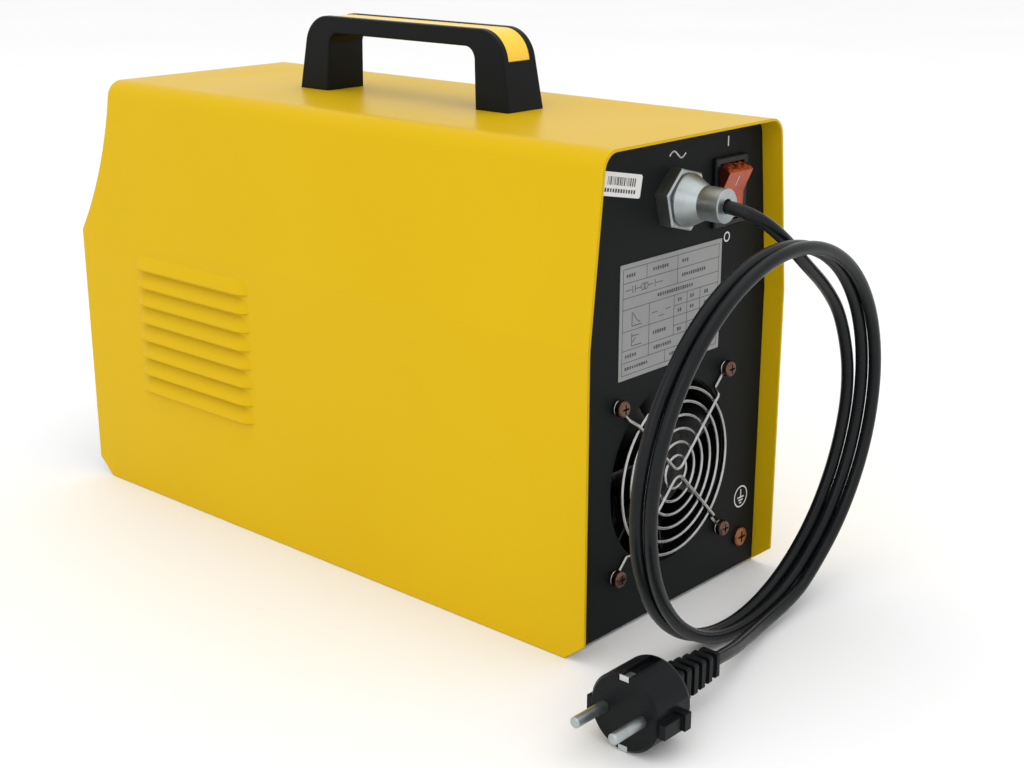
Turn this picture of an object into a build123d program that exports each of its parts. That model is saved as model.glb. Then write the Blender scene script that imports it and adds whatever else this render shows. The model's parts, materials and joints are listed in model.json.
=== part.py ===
"""Portable stick welding inverter: folded steel case, fan-cooled, with its mains lead and plug.

Frame: origin on the floor under the middle of the case, +Z up.
The front panel faces -Y, the rear panel with the fan faces +Y.
"""
from build123d import *
import math
import os

os.makedirs("parts", exist_ok=True)

# ---- driving dimensions (mm) ----
LENGTH = 370.0
WIDTH = 150.0
HEIGHT = 230.0
SHEET = 1.2
BEND_Z = 146.0          # height at which both sides start to lean in
TOP_WIDTH = 132.0
FOLD_R = 9.0
TOP_FRONT_Y = -162.5    # the top stops short of the nose of the sides
LIP = 14.0              # bottom flange of the cover
GAP = 0.4               # assembly gap between sheet parts

REAR_FACE = 174.5       # outer face of the rear panel
FRONT_FACE = -174.5     # outer face of the upright part of the front panel
PANEL = 1.5
SLOPE = 15.0            # the control panel leans back by this many degrees

FAN_Z = 70.0
FAN_SIZE = 92.0
FAN_PITCH = 82.5
FAN_DEPTH = 25.0
FAN_BORE = 44.5

SWITCH_X, SWITCH_Z = -38.0, 198.0
GLAND_X, GLAND_Z = 3.0, 200.3
NOSE_END = 203.0
EARTH_X, EARTH_Z = -60.0, 17.7

SOCKET_X, SOCKET_Z = 36.0, 62.0
SOCKET_BORE_R = 4.75

HANDLE_Y = 9.3
CORD_D = 6.0

half_l, half_w = LENGTH / 2, WIDTH / 2


def save(part, name):
    """Label one finished piece and write it as its own STEP file."""
    part.label = name
    export_step(part, f"parts/{name}.step")


def rear_plane(y):
    """Upright plane at y with +X to its right and +Z up; extruding goes towards the front."""
    return Plane.XZ.offset(-y)


def case_section(inset, bottom):
    """Outline across the case, drawn in by inset and cut off at the height bottom."""
    with BuildSketch() as section:
        with BuildLine():
            Polyline(
                (-half_w, 0),
                (half_w, 0),
                (half_w, BEND_Z),
                (TOP_WIDTH / 2, HEIGHT),
                (-TOP_WIDTH / 2, HEIGHT),
                (-half_w, BEND_Z),
                close=True,
            )
        make_face()
        fillet(section.vertices().group_by(Axis.Y)[-1], radius=FOLD_R)
        if inset > 0:
            offset(amount=-inset)
        with Locations((0, bottom - 50)):
            Rectangle(2 * WIDTH, 100, mode=Mode.SUBTRACT)
    return section.sketch


# ---- cover: one folded sheet, sides, top and bottom lips ----
LOUVRE_H = 8.0
LOUVRE_OUT = 3.2
LOUVRE_SKIN = 1.0
LOUVRE_PITCH = 9.95
LOUVRE_COUNT = 8
LOUVRE_TOP_Z = 132.0
LOUVRE_Y0, LOUVRE_Y1 = -128.0, -48.0
COVER_SCREWS_Y = (-140.0, 0.0, 140.0)
COVER_SCREW_X = 66.0
HANDLE_SCREWS_Y = (-54.5, 73.0)
LIP_END = REAR_FACE - PANEL - GAP


def louvre_solid(height, out, into):
    """Pressed hood, open at its foot: a swelling strip with quarter-round ends, rooted into the sheet."""
    with BuildPart() as hood:
        with BuildSketch(Plane.XZ.offset(-LOUVRE_Y1)):
            with BuildLine():
                Spline((out, 0), (out * 0.82, height * 0.45), (out * 0.3, height * 0.82), (0, height))
                Polyline((0, height), (-into, height), (-into, 0), (out, 0))
            make_face()
        extrude(amount=LOUVRE_Y1 - LOUVRE_Y0)
        for y_end in (LOUVRE_Y0, LOUVRE_Y1):
            with BuildSketch(Plane.XZ.offset(-y_end)):
                with BuildLine():
                    Spline((out, 0), (out * 0.82, height * 0.45), (out * 0.3, height * 0.82), (0, height))
                    Polyline((0, height), (-into, height), (-into, 0), (out, 0))
                make_face()
            turn = 90 if y_end == LOUVRE_Y1 else -90
            revolve(axis=Axis((0, y_end, 0), (-1, 0, 0)), revolution_arc=turn)
    return hood.part


hood_skin = louvre_solid(LOUVRE_H, LOUVRE_OUT, SHEET * 0.5)
hood_hollow = louvre_solid(LOUVRE_H - LOUVRE_SKIN, LOUVRE_OUT - LOUVRE_SKIN, SHEET * 1.5)

with BuildPart() as cover:
    with BuildSketch(rear_plane(half_l)):
        add(case_section(0, 0))
    extrude(amount=LENGTH)
    with BuildSketch(rear_plane(half_l + 1)):
        add(case_section(SHEET, SHEET))
    extrude(amount=LENGTH + 2, mode=Mode.SUBTRACT)
    with Locations((0, 0, SHEET / 2)):
        Box(WIDTH - 2 * LIP, LENGTH + 2, SHEET * 2, mode=Mode.SUBTRACT)
    # the lips stop short of both end panels
    with Locations((0, LIP_END + LIP / 2, 0), (0, -LIP_END - LIP / 2, 0)):
        Box(WIDTH - 2 * SHEET, LIP, 2 * SHEET + 0.02, mode=Mode.SUBTRACT)
    # the side view: flared front edge, nose at the bend, corners cut off at the floor
    with BuildSketch(Plane.YZ.offset(-half_w)):
        with BuildLine():
            ThreePointArc((TOP_FRONT_Y, HEIGHT), (-168.0, 188.0), (-half_l, BEND_Z))
            Polyline(
                (-half_l, BEND_Z),
                (-half_l, 9.5),
                (-173.8, 0),
                (173.5, 0),
                (half_l, 9.0),
                (half_l, HEIGHT),
                (TOP_FRONT_Y, HEIGHT),
            )
        make_face()
    extrude(amount=WIDTH, mode=Mode.INTERSECT)
    for row in range(LOUVRE_COUNT):
        foot = LOUVRE_TOP_Z - row * LOUVRE_PITCH
        right = hood_skin.moved(Location((half_w, 0, foot)))
        add(right)
        add(right.mirror(Plane.YZ))
    for row in range(LOUVRE_COUNT):
        foot = LOUVRE_TOP_Z - row * LOUVRE_PITCH
        right = hood_hollow.moved(Location((half_w, 0, foot - 0.01)))
        add(right, mode=Mode.SUBTRACT)
        add(right.mirror(Plane.YZ), mode=Mode.SUBTRACT)
    screw_spots = [(x, y, 0) for x in (-COVER_SCREW_X, COVER_SCREW_X) for y in COVER_SCREWS_Y]
    with Locations(*screw_spots):
        Cylinder(3.2, 6 * SHEET, mode=Mode.SUBTRACT)
    with Locations(*[(0, y, HEIGHT) for y in HANDLE_SCREWS_Y]):
        Cylinder(2.7, 6 * SHEET, mode=Mode.SUBTRACT)
save(cover.part, "cover")

# ---- base tray: floor with upstands, resting on the cover's lips ----
TRAY_Z = SHEET + 0.1
TRAY_T = 1.2
TRAY_TOP = TRAY_Z + TRAY_T
TRAY_HALF_W = half_w - SHEET - GAP
TRAY_HALF_L = REAR_FACE - PANEL - GAP
TRAY_SIDE = 16.0

with BuildPart() as base_tray:
    with Locations((0, 0, TRAY_Z + TRAY_SIDE / 2)):
        Box(2 * TRAY_HALF_W, 2 * TRAY_HALF_L, TRAY_SIDE)
    with Locations((0, 0, TRAY_TOP + TRAY_SIDE / 2)):
        Box(2 * (TRAY_HALF_W - TRAY_T), 2 * (TRAY_HALF_L + 1), TRAY_SIDE, mode=Mode.SUBTRACT)
    with Locations(*screw_spots):
        Cylinder(1.75, 12, mode=Mode.SUBTRACT)
save(base_tray.part, "base_tray")


def countersunk_screw(thread_r, head_r, head_h, length):
    """Countersunk screw standing head down, its head's flat face at z = 0."""
    with BuildPart() as screw:
        Cone(head_r, thread_r, head_h, align=(Align.CENTER, Align.CENTER, Align.MIN))
        Cylinder(thread_r, length, align=(Align.CENTER, Align.CENTER, Align.MIN))
        Box(head_r * 1.1, 0.7, 0.9, mode=Mode.SUBTRACT)
        Box(0.7, head_r * 1.1, 0.9, mode=Mode.SUBTRACT)
    return screw.part


case_screw = countersunk_screw(1.6, 2.9, 1.2, 9.0)
with BuildPart() as cover_screws:
    for x, y, z in screw_spots:
        add(case_screw.moved(Location((x, y, 0.05))))
save(cover_screws.part, "cover_screws")

# ---- rear panel ----
PANEL_BOTTOM = 0.4
PANEL_INSET = SHEET + GAP
FLANGE = 9.0
HOLES_AT_FAN = [(x, FAN_Z + z) for x in (-FAN_PITCH / 2, FAN_PITCH / 2)
                for z in (-FAN_PITCH / 2, FAN_PITCH / 2)]
FAN_SCREW_R = 2.0
SWITCH_BODY_W, SWITCH_BODY_H = 22.0, 28.6

with BuildPart() as rear_panel:
    with BuildSketch(rear_plane(REAR_FACE)):
        add(case_section(PANEL_INSET, PANEL_BOTTOM))
        with Locations((0, FAN_Z)):
            Circle(45.0, mode=Mode.SUBTRACT)
        with Locations(*HOLES_AT_FAN):
            Circle(FAN_SCREW_R + 0.25, mode=Mode.SUBTRACT)
        with Locations((SWITCH_X, SWITCH_Z)):
            Rectangle(SWITCH_BODY_W + 0.4, SWITCH_BODY_H + 0.4, mode=Mode.SUBTRACT)
        with Locations((GLAND_X, GLAND_Z)):
            Circle(8.2, mode=Mode.SUBTRACT)
        with Locations((EARTH_X, EARTH_Z)):
            Circle(2.7, mode=Mode.SUBTRACT)
    extrude(amount=PANEL)
    with Locations((0, REAR_FACE - PANEL - FLANGE / 2, TRAY_TOP + 0.1 + PANEL / 2)):
        Box(2 * (TRAY_HALF_W - TRAY_T - GAP), FLANGE, PANEL)
    with Locations((0, REAR_FACE - PANEL / 2, TRAY_TOP + 0.1 + PANEL / 2)):
        Box(2 * (TRAY_HALF_W - TRAY_T - GAP), PANEL, PANEL)
save(rear_panel.part, "rear_panel")

# ---- front panel: upright below, leaning back above the bend ----
lean = math.tan(math.radians(SLOPE))
slope_top = (FRONT_FACE + (HEIGHT - BEND_Z) * lean, HEIGHT)
slope_mid_z = 188.0
slope_mid_y = FRONT_FACE + (slope_mid_z - BEND_Z) * lean
CONTROL = Plane(
    origin=(0, slope_mid_y, slope_mid_z),
    x_dir=(1, 0, 0),
    z_dir=(0, -math.cos(math.radians(SLOPE)), math.sin(math.radians(SLOPE))),
)
KNOB_UP = -10.0
LAMP_UP = 24.0
LAMPS_X = (-30.0, 30.0)
BUSH_R = 4.5

with BuildPart() as front_panel:
    with BuildSketch(Plane.YZ.offset(-half_w)):
        with BuildLine():
            Polyline(
                (FRONT_FACE, PANEL_BOTTOM),
                (FRONT_FACE, BEND_Z),
                slope_top,
                (slope_top[0] + PANEL, slope_top[1]),
                (FRONT_FACE + PANEL, BEND_Z),
                (FRONT_FACE + PANEL, PANEL_BOTTOM),
                close=True,
            )
        make_face()
    extrude(amount=WIDTH)
    with BuildSketch(rear_plane(0)):
        add(case_section(PANEL_INSET, PANEL_BOTTOM))
    extrude(amount=half_l, mode=Mode.INTERSECT)
    with Locations((0, FRONT_FACE + PANEL + FLANGE / 2, TRAY_TOP + 0.1 + PANEL / 2)):
        Box(2 * (TRAY_HALF_W - TRAY_T - GAP), FLANGE, PANEL)
    with Locations((0, FRONT_FACE + PANEL / 2, TRAY_TOP + 0.1 + PANEL / 2)):
        Box(2 * (TRAY_HALF_W - TRAY_T - GAP), PANEL, PANEL)
    with BuildSketch(rear_plane(FRONT_FACE + 2 * PANEL)):
        with Locations((-SOCKET_X, SOCKET_Z), (SOCKET_X, SOCKET_Z)):
            Circle(11.3)
    extrude(amount=4 * PANEL, mode=Mode.SUBTRACT)
    with BuildSketch(CONTROL.offset(-3 * PANEL)):
        with Locations((0, KNOB_UP)):
            Circle(BUSH_R + 0.2)
        with Locations(*[(x, LAMP_UP) for x in LAMPS_X]):
            Circle(4.2)
    extrude(amount=6 * PANEL, mode=Mode.SUBTRACT)
save(front_panel.part, "front_panel")

# ---- carrying handle: moulded bridge with an inlay over its back ----
HANDLE_BASE = 148.4
HANDLE_TOP_LEN = 134.4
HANDLE_H = 38.0
HANDLE_W = 25.8
HANDLE_BEND = 16.0
GRIP_T = 8.6
LEG_FOOT = 21.6
LEG_TOP = 16.2
INLAY_W = 15.5
INLAY_DEEP = 1.8
INLAY_SUNK = 0.4
INLAY_LOW = 23.2
handle_z = HEIGHT + 0.02


def handle_profile(inset):
    """Side view of the bridge without its opening, drawn in by inset."""
    with BuildSketch() as outline:
        with BuildLine():
            Polyline(
                (-HANDLE_BASE / 2, 0),
                (HANDLE_BASE / 2, 0),
                (HANDLE_TOP_LEN / 2, HANDLE_H),
                (-HANDLE_TOP_LEN / 2, HANDLE_H),
                close=True,
            )
        make_face()
        fillet(outline.vertices().group_by(Axis.Y)[-1], radius=HANDLE_BEND)
        if inset > 0:
            offset(amount=-inset)
    return outline.sketch


def handle_opening():
    """Side view of the space for the hand."""
    with BuildSketch() as gap:
        with BuildLine():
            Polyline(
                (-HANDLE_BASE / 2 + LEG_FOOT, -1),
                (HANDLE_BASE / 2 - LEG_FOOT, -1),
                (HANDLE_TOP_LEN / 2 - LEG_TOP, HANDLE_H - GRIP_T),
                (-HANDLE_TOP_LEN / 2 + LEG_TOP, HANDLE_H - GRIP_T),
                close=True,
            )
        make_face()
        fillet(gap.vertices().group_by(Axis.Y)[-1], radius=6.5)
    return gap.sketch


handle_side = Plane(origin=(0, HANDLE_Y, handle_z), x_dir=(0, 1, 0), z_dir=(1, 0, 0))

with BuildPart() as handle:
    with BuildSketch(handle_side.offset(-HANDLE_W / 2)):
        add(handle_profile(0))
        add(handle_opening(), mode=Mode.SUBTRACT)
    extrude(amount=HANDLE_W)
    # the sides draw in towards the grip
    for side in (-1, 1):
        with BuildSketch(Plane.XZ.offset(-HANDLE_Y - HANDLE_BASE)):
            with BuildLine():
                Polyline(
                    (side * HANDLE_W / 2, handle_z - 1),
                    (side * (HANDLE_W / 2 + 5), handle_z - 1),
                    (side * (HANDLE_W / 2 + 5), handle_z + HANDLE_H + 1),
                    (side * (HANDLE_W / 2 - 1.3), handle_z + HANDLE_H + 1),
                    close=True,
                )
            make_face()
        extrude(amount=2 * HANDLE_BASE, mode=Mode.SUBTRACT)
    fillet(
        handle.edges().filter_by(lambda e: abs(e.center().X) > HANDLE_W / 2 - 1.6
                                 and e.center().Z > handle_z + 1),
        radius=1.1,
    )
    # groove for the inlay, over the back and both bends
    with BuildSketch(handle_side.offset(-INLAY_W / 2)):
        with Locations((0, HANDLE_H / 2 + INLAY_LOW)):
            Rectangle(2 * HANDLE_BASE, HANDLE_H)
        add(handle_profile(INLAY_DEEP), mode=Mode.SUBTRACT)
    extrude(amount=INLAY_W, mode=Mode.SUBTRACT)
    with BuildSketch(Plane.XY.offset(handle_z)):
        with Locations(*[(0, y) for y in HANDLE_SCREWS_Y]):
            Circle(2.2)
    extrude(amount=13, mode=Mode.SUBTRACT)
save(handle.part, "handle")

with BuildPart() as handle_inlay:
    with BuildSketch(handle_side.offset(-INLAY_W / 2 + 0.05)):
        add(handle_profile(INLAY_SUNK))
        add(handle_profile(INLAY_DEEP - 0.02), mode=Mode.SUBTRACT)
        with Locations((0, INLAY_LOW - HANDLE_H / 2 + 0.05)):
            Rectangle(2 * HANDLE_BASE, HANDLE_H, mode=Mode.SUBTRACT)
    extrude(amount=INLAY_W - 0.1)
save(handle_inlay.part, "handle_inlay")

with BuildPart() as handle_screws:
    for y in HANDLE_SCREWS_Y:
        with Locations((0, y, HEIGHT - SHEET - 3.2)):
            Cylinder(4.4, 3.0, align=(Align.CENTER, Align.CENTER, Align.MIN))
            Cylinder(2.1, 15.0, align=(Align.CENTER, Align.CENTER, Align.MIN))
save(handle_screws.part, "handle_screws")

# ---- fan: frame, motor and impeller ----
FAN_FRONT = REAR_FACE - PANEL - 0.05    # face of the fan against the panel
FAN_BACK = FAN_FRONT - FAN_DEPTH
HUB_R = 19.5
BLADES = 7
TUBE_R = 4.0
SHAFT_R = 1.5

with BuildPart() as fan_frame:
    with BuildSketch(rear_plane(FAN_FRONT)):
        with Locations((0, FAN_Z)):
            RectangleRounded(FAN_SIZE, FAN_SIZE, 5)
            Circle(FAN_BORE, mode=Mode.SUBTRACT)
        with Locations(*HOLES_AT_FAN):
            Circle(FAN_SCREW_R + 0.2, mode=Mode.SUBTRACT)
    extrude(amount=FAN_DEPTH)
    with BuildSketch(rear_plane(FAN_BACK + 2.5)):
        with Locations((0, FAN_Z)):
            Circle(HUB_R)
            for spoke in (45, 135):
                Rectangle(2 * FAN_BORE + 3, 4, rotation=spoke)
    extrude(amount=2.5)
    with BuildSketch(rear_plane(FAN_FRONT - 7)):
        with Locations((0, FAN_Z)):
            Circle(TUBE_R)
    extrude(amount=FAN_DEPTH - 7)
    with BuildSketch(rear_plane(FAN_FRONT)):
        with Locations((0, FAN_Z)):
            Circle(SHAFT_R + 0.06)
    extrude(amount=FAN_DEPTH - 1, mode=Mode.SUBTRACT)
save(fan_frame.part, "fan_frame")

with BuildPart() as fan_motor:
    with BuildSketch(rear_plane(FAN_BACK + 14)):
        with Locations((0, FAN_Z)):
            Circle(14)
            Circle(TUBE_R, mode=Mode.SUBTRACT)
            with PolarLocations(11, 4):
                SlotOverall(9, 2, rotation=90, mode=Mode.SUBTRACT)
    extrude(amount=10)
save(fan_motor.part, "fan_motor")

with BuildPart() as fan_rotor:
    with BuildSketch(rear_plane(FAN_FRONT - 2.5)):
        with Locations((0, FAN_Z)):
            Circle(HUB_R)
    extrude(amount=18.5)
    fillet(fan_rotor.faces().sort_by(Axis.Y)[-1].edges(), radius=1.5)
    with BuildSketch(rear_plane(FAN_FRONT - 4.5)):
        with Locations((0, FAN_Z)):
            Circle(HUB_R - 2)
            Circle(SHAFT_R, mode=Mode.SUBTRACT)
    extrude(amount=20, mode=Mode.SUBTRACT)
    for blade in range(BLADES):
        turn = 360 / BLADES * blade
        outward = (math.cos(math.radians(turn)), 0, math.sin(math.radians(turn)))
        root = Plane(origin=(outward[0] * (HUB_R - 0.8), FAN_FRONT - 12, FAN_Z + outward[2] * (HUB_R - 0.8)),
                     x_dir=(0, 1, 0), z_dir=outward)
        with BuildSketch(root):
            with BuildLine():
                ThreePointArc((-8, -7.5), (1.2, -1.0), (8, 7.5))
                Line((8, 7.5), (8, 6.2))
                ThreePointArc((8, 6.2), (2.4, -1.6), (-8, -8.8))
                Line((-8, -8.8), (-8, -7.5))
            make_face()
        extrude(amount=FAN_BORE - HUB_R)
    with BuildSketch(rear_plane(FAN_FRONT)):
        with Locations((0, FAN_Z)):
            Circle(FAN_BORE - 1.5)
    extrude(amount=FAN_DEPTH, mode=Mode.INTERSECT)
save(fan_rotor.part, "fan_rotor")

# ---- wire finger guard: rings and two bent support wires ----
GUARD_WIRE = 0.8
GUARD_Y = REAR_FACE + 3.1
SUPPORT_Y = GUARD_Y + 2 * GUARD_WIRE + 0.05
RING_PITCH = 6.5
RING_COUNT = 6
EYE_R = 3.0
LOOP_R = 5.0
eye_y = REAR_FACE + GUARD_WIRE + 0.05
diagonal = math.cos(math.radians(45))


def on_diagonal(reach, y, side, up):
    """Point at the distance reach from the fan's centre along one of its diagonals."""
    return (side * reach * diagonal, y, FAN_Z + up * reach * diagonal)


def support_wire(up):
    """Wire from one screw eye in to a small loop by the centre and out to the next eye."""
    eye = FAN_PITCH / 2 / diagonal
    reaches = ((eye - EYE_R - GUARD_WIRE - 0.05, eye_y), (47.0, eye_y), (43.5, SUPPORT_Y))
    inward = [on_diagonal(reach, y, -1, up) for reach, y in reaches]
    outward = [on_diagonal(reach, y, 1, up) for reach, y in reversed(reaches)]
    with BuildLine() as path:
        FilletPolyline(*inward, (0, SUPPORT_Y, FAN_Z), *outward, radius=[2, 2, LOOP_R, 2, 2])
    route = path.wires()[0]
    with BuildPart() as wire:
        with BuildSketch(Plane(origin=route @ 0, z_dir=route % 0)):
            Circle(GUARD_WIRE)
        sweep(path=route)
    return wire.part


with BuildPart() as fan_guard:
    for ring in range(RING_COUNT):
        with Locations(Plane(origin=(0, GUARD_Y, FAN_Z), z_dir=(0, 1, 0))):
            Torus(8.0 + ring * RING_PITCH, GUARD_WIRE)
    for up in (-1, 1):
        add(support_wire(up))
    for x, z in HOLES_AT_FAN:
        with Locations(Plane(origin=(x, eye_y, z), z_dir=(0, 1, 0))):
            Torus(EYE_R, GUARD_WIRE)
save(fan_guard.part, "fan_guard")


def pan_head_screw(thread_r, head_r, head_h, length):
    """Cross-recessed pan head screw lying along Y, the underside of its head at y = 0."""
    with BuildPart() as screw:
        with BuildSketch(Plane.XZ.offset(-head_h)):
            Circle(head_r)
        extrude(amount=head_h)
        fillet(screw.faces().sort_by(Axis.Y)[-1].edges(), radius=head_h * 0.45)
        with BuildSketch(Plane.XZ):
            Circle(thread_r)
        extrude(amount=length)
        with BuildSketch(Plane.XZ.offset(-head_h - 0.1)):
            Rectangle(head_r * 1.15, head_r * 0.22)
            Rectangle(head_r * 0.22, head_r * 1.15)
        extrude(amount=head_h * 0.6, mode=Mode.SUBTRACT)
    return screw.part


SCREW_SEAT = eye_y + GUARD_WIRE + 0.02
NUT_Y = FAN_BACK - 0.05
long_screw = pan_head_screw(FAN_SCREW_R, 4.0, 3.4, SCREW_SEAT - FAN_BACK + 4.5)
with BuildPart() as fan_screws:
    for x, z in HOLES_AT_FAN:
        add(long_screw.moved(Location((x, SCREW_SEAT, z))))
save(fan_screws.part, "fan_screws")

with BuildPart() as fan_nuts:
    with BuildSketch(rear_plane(NUT_Y)):
        with Locations(*HOLES_AT_FAN):
            RegularPolygon(4.0, 6)
            Circle(FAN_SCREW_R, mode=Mode.SUBTRACT)
    extrude(amount=3.2)
save(fan_nuts.part, "fan_nuts")

# ---- earth terminal on the rear panel ----
with BuildPart() as earth_screw:
    add(pan_head_screw(2.5, 5.0, 2.4, 14.0).moved(Location((EARTH_X, REAR_FACE + 0.02, EARTH_Z))))
save(earth_screw.part, "earth_screw")

EARTH_NUT_Y = REAR_FACE - PANEL - 1.1
with BuildPart() as earth_nut:
    with BuildSketch(rear_plane(EARTH_NUT_Y)):
        with Locations((EARTH_X, EARTH_Z)):
            RegularPolygon(4.6, 6)
            Circle(2.5, mode=Mode.SUBTRACT)
    extrude(amount=4)

with BuildPart() as earth_lug:
    with BuildSketch(rear_plane(REAR_FACE - PANEL - 0.02)):
        with Locations((EARTH_X, EARTH_Z)):
            Circle(5.2)
        with Locations((EARTH_X, EARTH_Z + 8)):
            Rectangle(4, 12)
        with Locations((EARTH_X, EARTH_Z)):
            Circle(2.55, mode=Mode.SUBTRACT)
    extrude(amount=1.0)
save(earth_lug.part, "earth_lug")

# ---- cable gland: hex body through the panel, locknut, coned nose and rubber seal ----
GLAND_THREAD_R = 8.0
HEX_R = 15.1
HEX_T = 7.3
CONE_BASE = REAR_FACE + HEX_T + 0.6
CONE_TOP = CONE_BASE + 9.4
NOSE_LIP = 1.0
NOSE_R = 7.7

with BuildPart() as gland_body:
    with BuildSketch(rear_plane(REAR_FACE + HEX_T)):
        with Locations((GLAND_X, GLAND_Z)):
            RegularPolygon(HEX_R, 6, rotation=15)
    extrude(amount=HEX_T - 0.02)
    chamfer(gland_body.faces().sort_by(Axis.Y)[-1].edges(), length=0.7)
    with BuildSketch(rear_plane(REAR_FACE + HEX_T)):
        with Locations((GLAND_X, GLAND_Z)):
            Circle(GLAND_THREAD_R)
    extrude(amount=HEX_T + 10)
    with BuildSketch(rear_plane(REAR_FACE + HEX_T)):
        with Locations((GLAND_X, GLAND_Z)):
            Circle(4.6)
    extrude(amount=HEX_T + 10, mode=Mode.SUBTRACT)
save(gland_body.part, "gland_body")

with BuildPart() as gland_locknut:
    with BuildSketch(rear_plane(REAR_FACE - PANEL - 0.02)):
        with Locations((GLAND_X, GLAND_Z)):
            RegularPolygon(12.5, 6)
            Circle(GLAND_THREAD_R, mode=Mode.SUBTRACT)
    extrude(amount=4)
save(gland_locknut.part, "gland_locknut")

gland_axis = Axis((GLAND_X, 0, GLAND_Z), (0, 1, 0))
with BuildPart() as gland_nose:
    with BuildSketch(Plane(origin=(GLAND_X, 0, GLAND_Z), x_dir=(1, 0, 0), z_dir=(0, 0, 1))):
        with BuildLine():
            Polyline(
                (4.6, REAR_FACE + HEX_T),
                (11.6, REAR_FACE + HEX_T),
                (11.6, CONE_BASE),
                (12.2, CONE_BASE),
                (12.2, CONE_BASE + 0.6),
                (NOSE_R, CONE_TOP),
                (NOSE_R, NOSE_END - 0.4),
                (NOSE_R - 0.4, NOSE_END),
                (CORD_D / 2 + 0.3, NOSE_END),
                (CORD_D / 2 + 0.3, NOSE_END - NOSE_LIP),
                (4.6, NOSE_END - NOSE_LIP),
                close=True,
            )
        make_face()
    revolve(axis=gland_axis)
save(gland_nose.part, "gland_nose")

with BuildPart() as gland_seal:
    with BuildSketch(rear_plane(NOSE_END - NOSE_LIP - 0.02)):
        with Locations((GLAND_X, GLAND_Z)):
            Circle(4.6)
            Circle(CORD_D / 2, mode=Mode.SUBTRACT)
    extrude(amount=12)
save(gland_seal.part, "gland_seal")

# ---- mains rocker switch, shown switched off ----
BEZEL_W, BEZEL_H = 25.4, 32.6
BEZEL_FACE = REAR_FACE + 2.5
PIVOT_Y = REAR_FACE - 1.0
ROCKER_R = 13.2
ROCKER_W = 18.6
ROCKER_REST = 13.0
CAVITY_W, CAVITY_H = 19.4, 27.2
TRUNNION_R = 1.5
TERMINALS = [(SWITCH_X + x, SWITCH_Z + z) for x in (-5.5, 5.5) for z in (-7.0, 7.0)]

with BuildPart() as switch_housing:
    with BuildSketch(rear_plane(BEZEL_FACE)):
        with Locations((SWITCH_X, SWITCH_Z)):
            RectangleRounded(BEZEL_W, BEZEL_H, 1.0)
    extrude(amount=BEZEL_FACE - REAR_FACE - 0.02)
    chamfer(switch_housing.faces().sort_by(Axis.Y)[-1].edges(), length=0.6)
    with BuildSketch(rear_plane(REAR_FACE + 0.1)):
        with Locations((SWITCH_X, SWITCH_Z)):
            Rectangle(SWITCH_BODY_W, SWITCH_BODY_H)
    extrude(amount=24.5)
    with BuildSketch(rear_plane(BEZEL_FACE + 1)):
        with Locations((SWITCH_X, SWITCH_Z)):
            Rectangle(CAVITY_W, CAVITY_H)
    extrude(amount=BEZEL_FACE + 1 - 161.0, mode=Mode.SUBTRACT)
    with BuildSketch(Plane.YZ.offset(SWITCH_X - CAVITY_W / 2 - 0.7)):
        with Locations((PIVOT_Y, SWITCH_Z)):
            Circle(TRUNNION_R + 0.06)
    extrude(amount=CAVITY_W + 1.4, mode=Mode.SUBTRACT)
save(switch_housing.part, "switch_housing")

rocker_tilt = math.radians(ROCKER_REST)
rocker_plane = Plane(
    origin=(SWITCH_X, PIVOT_Y, SWITCH_Z),
    x_dir=(0, math.cos(rocker_tilt), -math.sin(rocker_tilt)),
    z_dir=(1, 0, 0),
)
with BuildPart() as switch_rocker:
    with BuildSketch(rocker_plane.offset(-ROCKER_W / 2)):
        Circle(ROCKER_R)
        with BuildLine():
            Polyline((-5, -14), (6.7, -14), (4.0, 0), (6.7, 14), (-5, 14), close=True)
        make_face(mode=Mode.INTERSECT)
    extrude(amount=ROCKER_W)
    with BuildSketch(rocker_plane.offset(-ROCKER_W / 2 - 0.9)):
        Circle(TRUNNION_R)
    extrude(amount=ROCKER_W + 1.8)
save(switch_rocker.part, "switch_rocker")

with BuildPart() as switch_terminals:
    with BuildSketch(rear_plane(REAR_FACE - 24.42)):
        with Locations(*TERMINALS):
            Rectangle(0.8, 6.3)
    extrude(amount=9)
save(switch_terminals.part, "switch_terminals")

# ---- labels ----
with BuildPart() as rating_label:
    with BuildSketch(rear_plane(REAR_FACE + 0.32)):
        with Locations((3.1, 149.4)):
            RectangleRounded(76.4, 53.0, 0.6)
    extrude(amount=0.3)
save(rating_label.part, "rating_label")

with BuildPart() as serial_label:
    with BuildSketch(rear_plane(REAR_FACE + 0.2)):
        with Locations((42.0, 211.6)):
            RectangleRounded(29.0, 10.4, 1.2, rotation=11)
    extrude(amount=0.18)
save(serial_label.part, "serial_label")

# ---- current control: potentiometer, nut, knob; two lamps; control board ----
BOARD_GAP = 12.0
SHAFT_KNOB_R = 3.0

with BuildPart() as potentiometer:
    with BuildSketch(CONTROL.offset(-PANEL - 0.1)):
        with Locations((0, KNOB_UP)):
            Circle(11.5)
    extrude(amount=-9.5)
    with BuildSketch(CONTROL.offset(-PANEL - 0.1)):
        with Locations((0, KNOB_UP)):
            Circle(BUSH_R)
    extrude(amount=7.5)
    with BuildSketch(CONTROL.offset(-PANEL - 8.0)):
        with Locations((0, KNOB_UP)):
            Circle(SHAFT_KNOB_R + 0.06)
    extrude(amount=20, mode=Mode.SUBTRACT)
save(potentiometer.part, "potentiometer")

with BuildPart() as pot_nut:
    with BuildSketch(CONTROL.offset(0.05)):
        with Locations((0, KNOB_UP)):
            RegularPolygon(7.2, 6)
            Circle(BUSH_R, mode=Mode.SUBTRACT)
    extrude(amount=2.2)
save(pot_nut.part, "pot_nut")

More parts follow.
